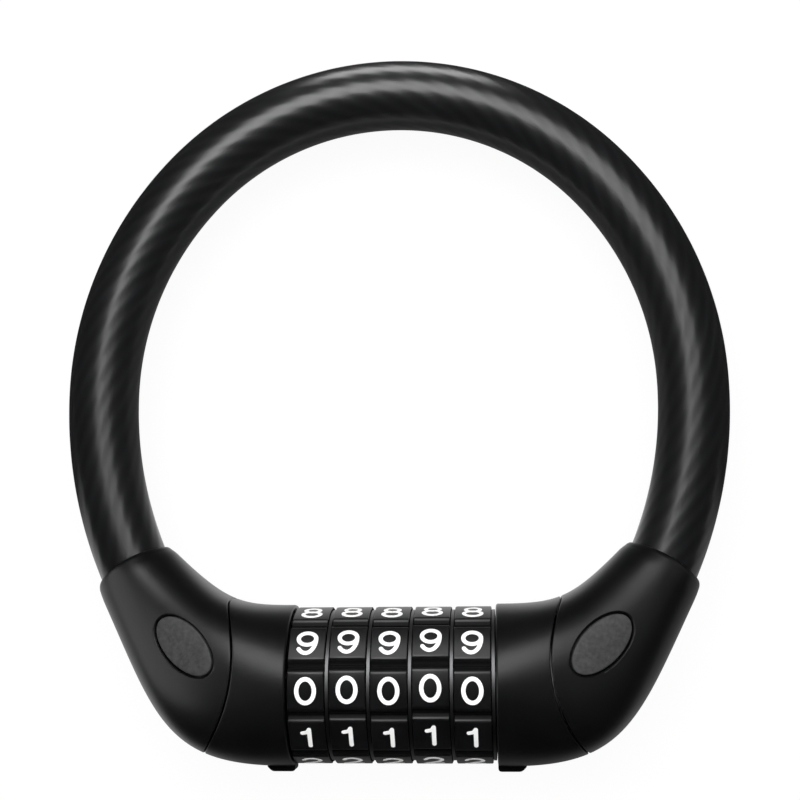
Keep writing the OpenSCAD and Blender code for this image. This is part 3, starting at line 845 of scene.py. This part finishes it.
    def mouth_ring(self, radius, push, a):
        """A circle beside the mouth's face, pushed along the cable and bowed by the squared sine of the angle."""
        push = push + self.sizes.rim_bow * np.sin(a)[:, None] ** 2
        flat = self.ring.mouth + push * self.push + radius * np.cos(a)[:, None] * self.across
        return raised(flat, radius * np.sin(a))


class BadgeSeat:
    """The place of a badge on the right elbow: its middle, its axes, and the height of the elbow's surface
    over its plane, a full polynomial of the fourth degree fitted to the surface around it."""

    def __init__(self, form, sizes):
        self.sizes, self.half = sizes, np.array(sizes.size, float) / 2
        station, shift = sizes.station, sizes.shift
        probe_t, probe_shift = 0.12, 0.8 * shift
        reach_t, reach_shift, near = 0.24, 7 * MM, np.array([8.5, 6]) * MM
        self.middle = form.front(station, shift)
        step_t = form.front(station + probe_t, shift) - form.front(station - probe_t, shift)
        step_s = form.front(station, shift + probe_shift) - form.front(station, shift - probe_shift)
        normal = Vector(np.cross(step_t, step_s)).normalized()
        tilt, way = math.acos(normal.z), math.atan2(normal.y, normal.x)
        turn = Matrix.Rotation(way, 3, "Z") @ Matrix.Rotation(tilt, 3, "Y") @ Matrix.Rotation(sizes.turn - way, 3, "Z")
        self.axes = np.array(turn).T
        spread = np.linspace(-1, 1, 40)
        around = form.front(*np.meshgrid(station + reach_t * spread, shift + reach_shift * spread))
        local = (around.reshape(-1, 3) - self.middle) @ self.axes.T
        x, y, up = local[np.hypot(*(local[:, :2] / near).T) < 1].T / MM
        self.fit = np.linalg.lstsq(self.terms(x, y), up, rcond=None)[0]

    @staticmethod
    def terms(x, y):
        return np.stack([x**i * y**j for i in range(5) for j in range(5 - i)], -1)

    def height(self, x, y):
        """Height of the elbow's surface over the plane of the badge."""
        return self.terms(x / MM, y / MM) @ self.fit * MM

    def oval(self, half, angles, height, follow=1.0):
        """A ring round the badge's middle with two half axes, at a height over the surface or, with follow 0,
        over the plane."""
        x, y = half[0] * np.cos(angles), half[1] * np.sin(angles)
        return self.middle + np.stack([x, y, height + follow * self.height(x, y)], -1) @ self.axes

    def badge(self):
        """Rows from the middle of the top over the rounded edge and down the wall to the middle of the back."""
        b, half, a = self.sizes, self.half, circle_steps(120)
        edge, sunk, semi = 0.2 * MM, 0.02 * MM, min(self.half)
        scales = np.linspace(0.03, 1, 14) ** 0.8
        scales = scales[semi * (1 - scales) > edge * 1.5]
        rows = [self.oval(half * scale, a, b.dome * (1 - scale**2) - sunk) for scale in scales]
        rows += [self.oval(half - edge * (1 - s), a, -edge * (1 - c) - sunk) for s, c in zip(*arc_steps(6))]
        rows += [self.oval(half * scale, a, -b.thickness, 0.0) for scale in (1, 0.05)]
        return np.stack(rows)

    def cutter(self):
        """Rows of the pocket: a flat floor, a wall a groove's width outside the badge, and a bevel at the top."""
        b, a = self.sizes, circle_steps(120)
        floor, groove = -b.thickness - 0.35 * MM, self.half + b.gap
        rows = [self.oval(groove - 0.5 * b.gap, a, floor, 0.0), self.oval(groove, a, floor + 0.15 * MM, 0.0)]
        for wider, height in ((0, -1), (0.3, -0.45), (1, 0), (1.6, 0.35)):
            rows.append(self.oval(groove + wider * b.lip, a, height * b.lip))
        rows.append(self.oval(groove + 1.6 * b.lip, a, 2 * MM, 0.0))
        return np.stack(rows)


def carve(made, cutter):
    """Takes the cutter out of a piece, and keeps the result in its mesh."""
    cut = made.modifiers.new("pocket", "BOOLEAN")
    cut.object, cut.operation, cut.solver = cutter, "DIFFERENCE", "EXACT"
    graph = bpy.context.evaluated_depsgraph_get()
    mesh = bpy.data.meshes.new_from_object(made.evaluated_get(graph))
    made.modifiers.clear()
    made.data = mesh
    bpy.data.objects.remove(cutter)
    shade_smooth(made, degrees=32)


class LOCK_OT_housings(LockOperator, bpy.types.Operator):
    """Makes the elbows, the collars with their index tabs, and the bare oval badges"""

    bl_idname = "lock.housings"
    bl_label = "Housings"

    def execute(self, context):
        scene = context.scene
        sizes = scene.lock_housing
        form = HousingForm(sizes, Ring(scene.lock_cable, sizes))
        seat = BadgeSeat(form, scene.lock_badge)
        plastic = housing_plastic(tuple(sizes.plastic))
        oval_plastic = badge_plastic(tuple(scene.lock_badge.plastic))
        a = circle_steps(192)
        elbow_rows = form.elbow(a)
        for side, mirror in SIDES.items():
            elbow = grid_piece(f"{side}_elbow_shell", elbow_rows, plastic, mirror, closed=True)
            carve(elbow, grid_piece(f"{side}_pocket", seat.cutter(), None, mirror))
            collar_rows = form.collar(a, COLLAR_HOLES[side])
            collar = grid_piece(f"{side}_collar_shell", collar_rows, plastic, mirror, closed=True)
            badge = grid_piece(f"{side}_oval", seat.badge(), oval_plastic, mirror)
            tab = grid_piece(f"{side}_index_tab", self.index_tab(sizes), plastic, mirror)
            for made, node, slot in (
                (elbow, "elbow", "housing_plastic"),
                (collar, "collar", "housing_plastic"),
                (badge, "badge", "badge_plastic"),
                (tab, None, "housing_plastic"),
            ):
                if node:
                    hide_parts(f"{side}_{node}")
                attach(made, SIDE_BODY[side])
        return {"FINISHED"}

    @staticmethod
    def index_tab(sizes):
        """Rows of a wedge on the collar's underside beside the dials: a rounded outline carried across in steps
        that draw in at both ends."""
        long, wide, tall, root, edge = 4.8 * MM, 4 * MM, 0.8 * MM, 0.9 * MM, 0.25 * MM
        corners = np.array([[0, 0], [long - tall, 0], [long, tall], [long, tall + root], [0, tall + root]])
        outline = rounded(corners, [0.6 * MM, 0.5 * MM, 0.2 * MM, 0.1 * MM, 0.1 * MM], 6)
        places, insets = rim_steps(-wide / 2, wide / 2, edge, 6)
        drawn_in = insets[:, None, None] * unit(outline - outline.mean(axis=0))
        flat = outline - drawn_in + [FACE_X, -sizes.radius - tall]
        return raised(flat, places[:, None])


def rounded(corners, radii, steps):
    """A closed outline with each corner replaced by a quadratic curve between points a radius away from it."""
    points = []
    for k, corner in enumerate(corners):
        back, ahead = corners[k - 1] - corner, corners[(k + 1) % len(corners)] - corner
        first, last = corner + unit(back) * radii[k], corner + unit(ahead) * radii[k]
        points.append(corner_curve(first, corner, last, np.linspace(0, 1, steps)[:, None]))
    return np.concatenate(points)


# ---- Dials ----


def dial_outline(d):
    """Outline of a dial as across and up from its axis, one tenth after another: a crowned number face, then
    a hollow that sinks along the ray between two faces by its depth times the squared sine of a quarter turn.
    The face ends where its crown meets the hollow's edge, the root of a quadratic."""
    ray, inward = outward(STEP / 2), -along(STEP / 2)
    slope = ray[0] / (2 * d.crown)
    run = d.face * ray[0] - d.groove_width / 2
    edge_across = (math.sqrt(ray[1] ** 2 + 4 * slope * run) - ray[1]) / (2 * slope)
    land_x = np.linspace(0, 1, 12) * edge_across
    land = np.stack([land_x, d.face - land_x**2 / (2 * d.crown)], -1)
    share = np.linspace(0, 1, 12)[1:, None]
    sunk = land[-1] @ ray - d.groove_depth * np.sin(share * math.pi / 2) ** 2
    half = np.concatenate([land, ray * sunk + inward * (1 - share) * d.groove_width / 2])
    tenth = np.concatenate([half[:0:-1] * [-1, 1], half[:-1]])
    turns = np.arange(DIGITS) * STEP
    c, s = np.cos(turns)[:, None], np.sin(turns)[:, None]
    across, up = tenth.T
    return np.stack([c * across - s * up, s * across + c * up], -1).reshape(-1, 2)


def dial_rows(d, start, end):
    """Rows of a dial along its axis: the outline drawn in round both rims by a quarter circle, a ring on each end
    face, and the outline scaled to the bore's radius inside."""
    outline = dial_outline(d)
    reach = np.linalg.norm(outline, axis=1, keepdims=True)
    edge, shelf_depth = 0.2 * MM, 2.2 * MM
    x, insets = rim_steps(start, end, edge, 5)
    flat = outline * (1 - insets[:, None, None] / reach)
    shelf, bore = outline * (1 - shelf_depth / reach), outline / reach * d.bore
    flat = np.concatenate([flat, [shelf, bore, bore, shelf]])
    x = np.concatenate([x, [end, end, start, start]])
    return np.concatenate([np.broadcast_to(x[:, None, None], flat.shape[:2] + (1,)), flat], -1)


def turned(points, turn):
    """Points turned about the dial axis by a right-handed angle about +X."""
    c, s = math.cos(turn), math.sin(turn)
    return points @ np.array([[1, 0, 0], [0, c, s], [0, -s, c]])


def pen_arc(middle, reach, start, end):
    """Points on an oval arc, with angles in degrees."""
    a = np.radians(np.linspace(start, end, max(8, int(abs(end - start) / 7))))
    return np.stack([middle[0] + reach[0] * np.cos(a), middle[1] + reach[1] * np.sin(a)], -1)


def pen_line(*points):
    """Points on straight strokes between corners."""
    points = np.array(points, float)
    return np.concatenate([np.linspace(p, q, 9)[:-1] for p, q in zip(points, points[1:])] + [points[-1:]])


def digit_strokes():
    """The middle lines of the ten numbers, from -1 to 1 across and up, each a list of strokes."""
    return {
        0: [pen_arc((0, 0), (1, 1), 0, 360)],
        1: [pen_line((0.28, -1), (0.28, 0.84)), pen_line((0.28, 0.82), (0.02, 0.54), (-0.5, 0.46))],
        2: [np.concatenate([pen_arc((0, 0.42), (0.95, 0.58), 165, -28), pen_line((0.6, -0.12), (-0.98, -1))]),
            pen_line((-0.98, -1), (1, -1))],
        3: [pen_arc((-0.05, 0.5), (0.88, 0.5), 155, -90), pen_arc((-0.05, -0.48), (1.02, 0.52), 90, -155)],
        4: [pen_line((0.42, 1), (-1, -0.42), (1.05, -0.42)), pen_line((0.42, 1), (0.42, -1))],
        5: [pen_line((0.85, 1), (-0.62, 1), (-0.85, 0.02)), pen_arc((-0.02, -0.36), (1, 0.64), 145, -150)],
        6: [pen_arc((0, -0.4), (1, 0.6), 0, 360), pen_arc((0.12, -0.3), (1.12, 1.3), 188, 45)],
        7: [pen_line((-1, 1), (1, 1)),
            np.concatenate([pen_line((1, 1), (0.55, 0.5)), pen_arc((1.4, -1), (1.75, 1.9), 130, 180)])],
        8: [pen_arc((0, 0.5), (0.82, 0.5), 0, 360), pen_arc((0, -0.47), (1, 0.53), 0, 360)],
        9: [pen_arc((0, 0.4), (1, 0.6), 0, 360), pen_arc((-0.12, 0.3), (1.12, 1.3), 8, -135)],
    }


def stroke_grid(line, width, lift, depth):
    """A ribbon along a pen line with round ends: its rows step along the line, and past each end they narrow
    as a half circle. Each row goes over the top and back underneath. Columns are across, up and height."""
    step = unit(np.gradient(line, axis=0))
    looped = np.allclose(line[0], line[-1], atol=1e-9)
    if looped:
        line, step = line[:-1], step[:-1]
        step[0] = unit(step[0] + step[-1])
    half = np.full(len(line), width / 2)
    if not looped:
        up, out = arc_steps(6)
        up, out = up[1:], np.maximum(out[1:], 0.06)
        before = line[0] - step[0] * (up[::-1, None] * width / 2)
        after = line[-1] + step[-1] * (up[:, None] * width / 2)
        line = np.concatenate([before, line, after])
        step = np.concatenate([np.repeat(step[:1], 5, 0), step, np.repeat(step[-1:], 5, 0)])
        half = np.concatenate([out[::-1] * width / 2, half, out * width / 2])
    left = np.stack([-step[:, 1], step[:, 0]], -1)
    places = np.array([-1, -1, -0.9, -0.45, 0, 0.45, 0.9, 1, 1, 0.5, 0, -0.5])
    heights = np.array([-depth, lift * 0.6, *[lift] * 5, lift * 0.6, *[-depth] * 4])
    flat = line[:, None] + left[:, None] * (half[:, None] * places)[..., None]
    return raised(flat, heights), looped


def digit_points(d, digit, start):
    """Points and faces of one number laid on the crowned face at the top of the dial, whose height falls with
    the square of the distance up it. The points are numbered from start, and each stroke lies a little lower
    than the one before, so that none coincide."""
    reach = np.array([d.digit_width - d.stroke, d.digit_height - d.stroke]) / 2
    step_down, sunk = 0.004 * MM, 0.05 * MM
    points, faces = [], []
    for k, line in enumerate(digit_strokes()[digit]):
        grid, looped = stroke_grid(line * reach, d.stroke, d.paint - k * step_down, sunk)
        faces += tube_faces(*grid.shape[:2], looped, start)
        points.append(grid.reshape(-1, 3))
        start += len(points[-1])
    across, up, lift = np.concatenate(points).T
    return np.stack([across, up, d.face - up**2 / (2 * d.crown) + lift], -1), faces


class LOCK_OT_dials(LockOperator, bpy.types.Operator):
    """Makes the five grooved dials and their white numbers"""

    bl_idname = "lock.dials"
    bl_label = "Dials"

    def execute(self, context):
        d = context.scene.lock_dial
        gloss, white = dial_gloss(tuple(d.gloss), d.face), number_paint(tuple(d.white))
        for index, (low, high) in zip(DIALS, DIAL_BOXES):
            turn = d.turns[index - 1]
            rows = turned(dial_rows(d, low[0], high[0]), turn)
            dial = grid_piece(f"dial_{index}_skin", rows, gloss, closed=True, smooth=40)
            middle = [(low[0] + high[0]) / 2, 0, 0]
            points, faces, start = [], [], 0
            for digit in range(DIGITS):
                own_points, own_faces = digit_points(d, digit, start)
                points.append(turned(own_points + middle, turn + digit * STEP))
                faces += own_faces
                start += len(own_points)
            numbers = piece(f"dial_{index}_numbers", row(np.concatenate(points)), faces, white, 40)
            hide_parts(f"dial_{index}")
            for made in (dial, numbers):
                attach(made, f"dial_{index}")
        return {"FINISHED"}


# ---- Lock works ----


class LOCK_OT_works(LockOperator, bpy.types.Operator):
    """Gives the steel, brass and zinc parts inside the lock their finishes"""

    bl_idname = "lock.works"
    bl_label = "Lock works"

    def execute(self, context):
        pins = ["left_ferrule_pin", "right_ferrule_pin", "core_tube_pin", "bolt_pin"]
        rings = [f"code_ring_{i}" for i in DIALS]
        washers = worked_metal("spacer_steel", (0.18, 0.18, 0.185), 0.34, along_x=False, grime=0.12)
        for finish, nodes in (
            (washers, ["spacer_washers"]),
            (worked_metal("tube_steel", (0.56, 0.565, 0.58), 0.26), ["core_tube"]),
            (worked_metal("bolt_steel", (0.58, 0.585, 0.6), 0.22), ["locking_bolt"]),
            (worked_metal("spring_steel", (0.33, 0.33, 0.34), 0.3), ["retaining_clip", "detent_spring"]),
            (cast_zinc(), ["left_anchor", "right_anchor"]),
            (worked_metal("ferrule_steel", (0.5, 0.5, 0.51), 0.3), ["left_ferrule", "right_ferrule"]),
            (worked_metal("pin_steel", (0.42, 0.42, 0.43), 0.28), pins),
            (worked_metal("code_brass", (0.72, 0.5, 0.2), 0.24, along_x=False), rings),
        ):
            for node in nodes:
                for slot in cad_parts[node].material_slots:
                    slot.material = finish
        return {"FINISHED"}


# ---- Stage ----


def seen_directly(s):
    """One on camera, glossy and transmission rays, nothing on the rest."""
    path = s.add("ShaderNodeLightPath").socket.node
    kinds = [Value(s, path.outputs[name]) for name in ("Is Camera Ray", "Is Glossy Ray", "Is Transmission Ray")]
    return kinds[0].greater(kinds[1]).greater(kinds[2])


def floor_finish(tint):
    """Pale paper that shows the object's shadow softly and is near white to the eye and in reflections."""
    s = shade("floor_paper")
    fibre = s.noise(700, 3)
    tone = s.shades(fibre, tint, (0.3, 0.985), (0.7, 1))
    own_light = 0.95
    return s.surface(s.mixed(seen_directly(s) * own_light, s.matt(tone), s.glow()))


def card_finish(stage):
    """Dark card whose brightness changes over its face: bright inside the ring beside the dials, dim inside the
    rest of the ring, dark round the lock, and brighter again beside the housings and in front of the dials.
    Inside is where the sum of the squares of x and y, each over an oval's reach, stays below one."""
    s = shade("dark_card")
    x, y, _ = s.axes()
    y = y - AXIS[1]
    reach_x, reach_y, rise = 0.052, 0.055, 0.05
    inside = 1 - ((x / reach_x) ** 2 + ((y - rise) / reach_y) ** 2).smooth(0.92, 1.08)
    by_dials = 1 - y.smooth(0.024, 0.046)
    beside = y.smooth(-0.045, -0.015) * (1 - y.smooth(0.012, 0.034))
    below = y.smooth(-0.06, -0.04) * (1 - y.smooth(-0.02, -0.008))
    left, right = 1 - x.smooth(-0.06, -0.02), x.smooth(0.02, 0.055)
    within = stage.card_inside + (1 - stage.card_inside) * by_dials
    around = stage.card_outside + (stage.card_left * left + stage.card_right * right) * beside
    around = around + stage.card_below * below
    return s.surface(s.mixed(inside * within + (1 - inside) * around, s.matt(FELT), s.glow()))


def felt_finish():
    """Black felt of the studio's walls."""
    s = shade("wall_felt")
    return s.surface(s.matt(FELT))


def panel_light(name, size, place, aim, level):
    """A flat soft light of even radiance, out of the camera's sight: its power is pi times level times area."""
    made = bpy.data.objects.new(name, bpy.data.lights.new(name, "AREA"))
    bpy.context.collection.objects.link(made)
    made.data.shape, made.data.size, made.data.size_y = "RECTANGLE", *size
    made.data.energy = level * math.pi * size[0] * size[1]
    made.location = row(tuple(place))
    made.rotation_euler = (Vector(aim) - Vector(place)).to_track_quat("-Z", "Y").to_euler()
    made.visible_camera = False
    return made


def lights_only(light, names):
    """Limits a light to the named pieces."""
    lit = bpy.data.collections.new(f"{light.name}_lights")
    for name in names:
        lit.objects.link(bpy.data.objects[name])
    light.light_linking.receiver_collection = lit


def only_reflected(made):
    """Hides a flag from everything but reflections."""
    made.visible_camera = made.visible_diffuse = made.visible_transmission = made.visible_shadow = False


class LOCK_OT_stage(LockOperator, bpy.types.Operator):
    """Makes the camera, the pale floor, the soft lights and the black flags round them"""

    bl_idname = "lock.stage"
    bl_label = "Stage"

    def execute(self, context):
        scene, sizes = context.scene, context.scene.lock_stage
        camera = bpy.data.objects.new("camera", bpy.data.cameras.new("camera"))
        context.collection.objects.link(camera)
        camera.data.lens, camera.data.sensor_width = sizes.lens, 36
        camera.data.clip_start, camera.data.clip_end = 0.01, 20
        turn = Matrix.Rotation(sizes.yaw, 4, "Y") @ Matrix.Rotation(sizes.pitch, 4, "X")
        turn = turn @ Matrix.Rotation(sizes.roll, 4, "Z")
        camera.matrix_world = Matrix.Translation(row(tuple(sizes.camera))) @ turn
        scene.camera = camera

        reach = 3.0
        corners = [(-reach, -reach, 0), (reach, -reach, 0), (reach, reach, 0), (-reach, reach, 0)]
        piece("floor", corners, [(0, 1, 2, 3)], floor_finish(tuple(sizes.floor_colour)))

        shells = [f"{side}_{part}_shell" for side in SIDES for part in ("elbow", "collar")]
        lit = {
            "left_panel": shells,
            "right_panel": shells,
            "dial_band": [f"dial_{index}_skin" for index in DIALS],
            "rim_strip": ["cable_sheath_skin"],
        }
        top = Ring(scene.lock_cable, scene.lock_housing).top
        for name in LIGHTS:
            spot, size, level = (getattr(sizes, f"{name}_{key}") for key in ("place", "size", "level"))
            aim = (spot[0] if name.endswith("box") else 0, top if name == "rim_strip" else 0, 0)
            light = panel_light(name, size, spot, aim, level)
            light.visible_glossy = name != "fill_panel"
            if name in lit:
                lights_only(light, lit[name])
        self.flags(scene)

        world = scene.world or bpy.data.worlds.new("studio")
        scene.world = world
        s = Shade(world)
        up = s.axes(s.add("ShaderNodeTexCoord", out="Generated"))[2]
        wall_level, ambient = 0.957, 0.15
        seen, wall = seen_directly(s), 1 - up.smooth(0.3, 0.5)
        strength = seen * wall * wall_level + (1 - seen) * ambient
        glow = s.add("ShaderNodeBackground", sockets={"Color": WHITE, "Strength": strength})
        s.add("ShaderNodeOutputWorld", sockets={"Surface": glow})
        scene.view_settings.view_transform = "Standard"
        return {"FINISHED"}

    @staticmethod
    def flags(scene):
        """Cards that only reflections see: a dark one just over the floor, and a black wall round the studio."""
        lift, room, top = 0.3 * MM - scene.lock_housing.radius, 0.6, 0.7
        count = 128
        a = circle_steps(count)
        edge = room * np.stack([np.cos(a), np.sin(a)], -1)
        low, high = raised(edge, lift), raised(edge, top)
        only_reflected(piece("dark_card", row(low), [range(count)], card_finish(scene.lock_stage)))
        wall = quads(2, count)[0].tolist()
        only_reflected(piece("black_wall", row(np.concatenate([low, high])), wall, felt_finish()))


# ---- Panel and registration ----

OPERATORS = (LOCK_OT_cable, LOCK_OT_housings, LOCK_OT_dials, LOCK_OT_works, LOCK_OT_stage)


class LOCK_PT_panel(bpy.types.Panel):
    """Lists the lock's pieces and their sizes"""

    bl_idname = "LOCK_PT_panel"
    bl_label = "Cable lock"
    bl_space_type = "VIEW_3D"
    bl_region_type = "UI"
    bl_category = "Cable lock"

    def draw(self, context):
        for operator in OPERATORS:
            self.layout.operator(operator.bl_idname)
        for group in PROPERTY_GROUPS:
            box = self.layout.box()
            sizes = getattr(context.scene, group)
            for key in sizes.__annotations__:
                box.prop(sizes, key)


def register():
    for group in PROPERTY_GROUPS.values():
        bpy.utils.register_class(group)
    for name, group in PROPERTY_GROUPS.items():
        setattr(bpy.types.Scene, name, bpy.props.PointerProperty(type=group))
    for item in (*OPERATORS, LOCK_PT_panel):
        bpy.utils.register_class(item)


def unregister():
    for item in (LOCK_PT_panel, *OPERATORS):
        bpy.utils.unregister_class(item)
    for name, group in PROPERTY_GROUPS.items():
        delattr(bpy.types.Scene, name)
        bpy.utils.unregister_class(group)


def main():
    register()
    bpy.ops.lock.cable()
    bpy.ops.lock.housings()
    bpy.ops.lock.dials()
    bpy.ops.lock.works()
    bpy.ops.lock.stage()


if __name__ == "__main__":
    main()
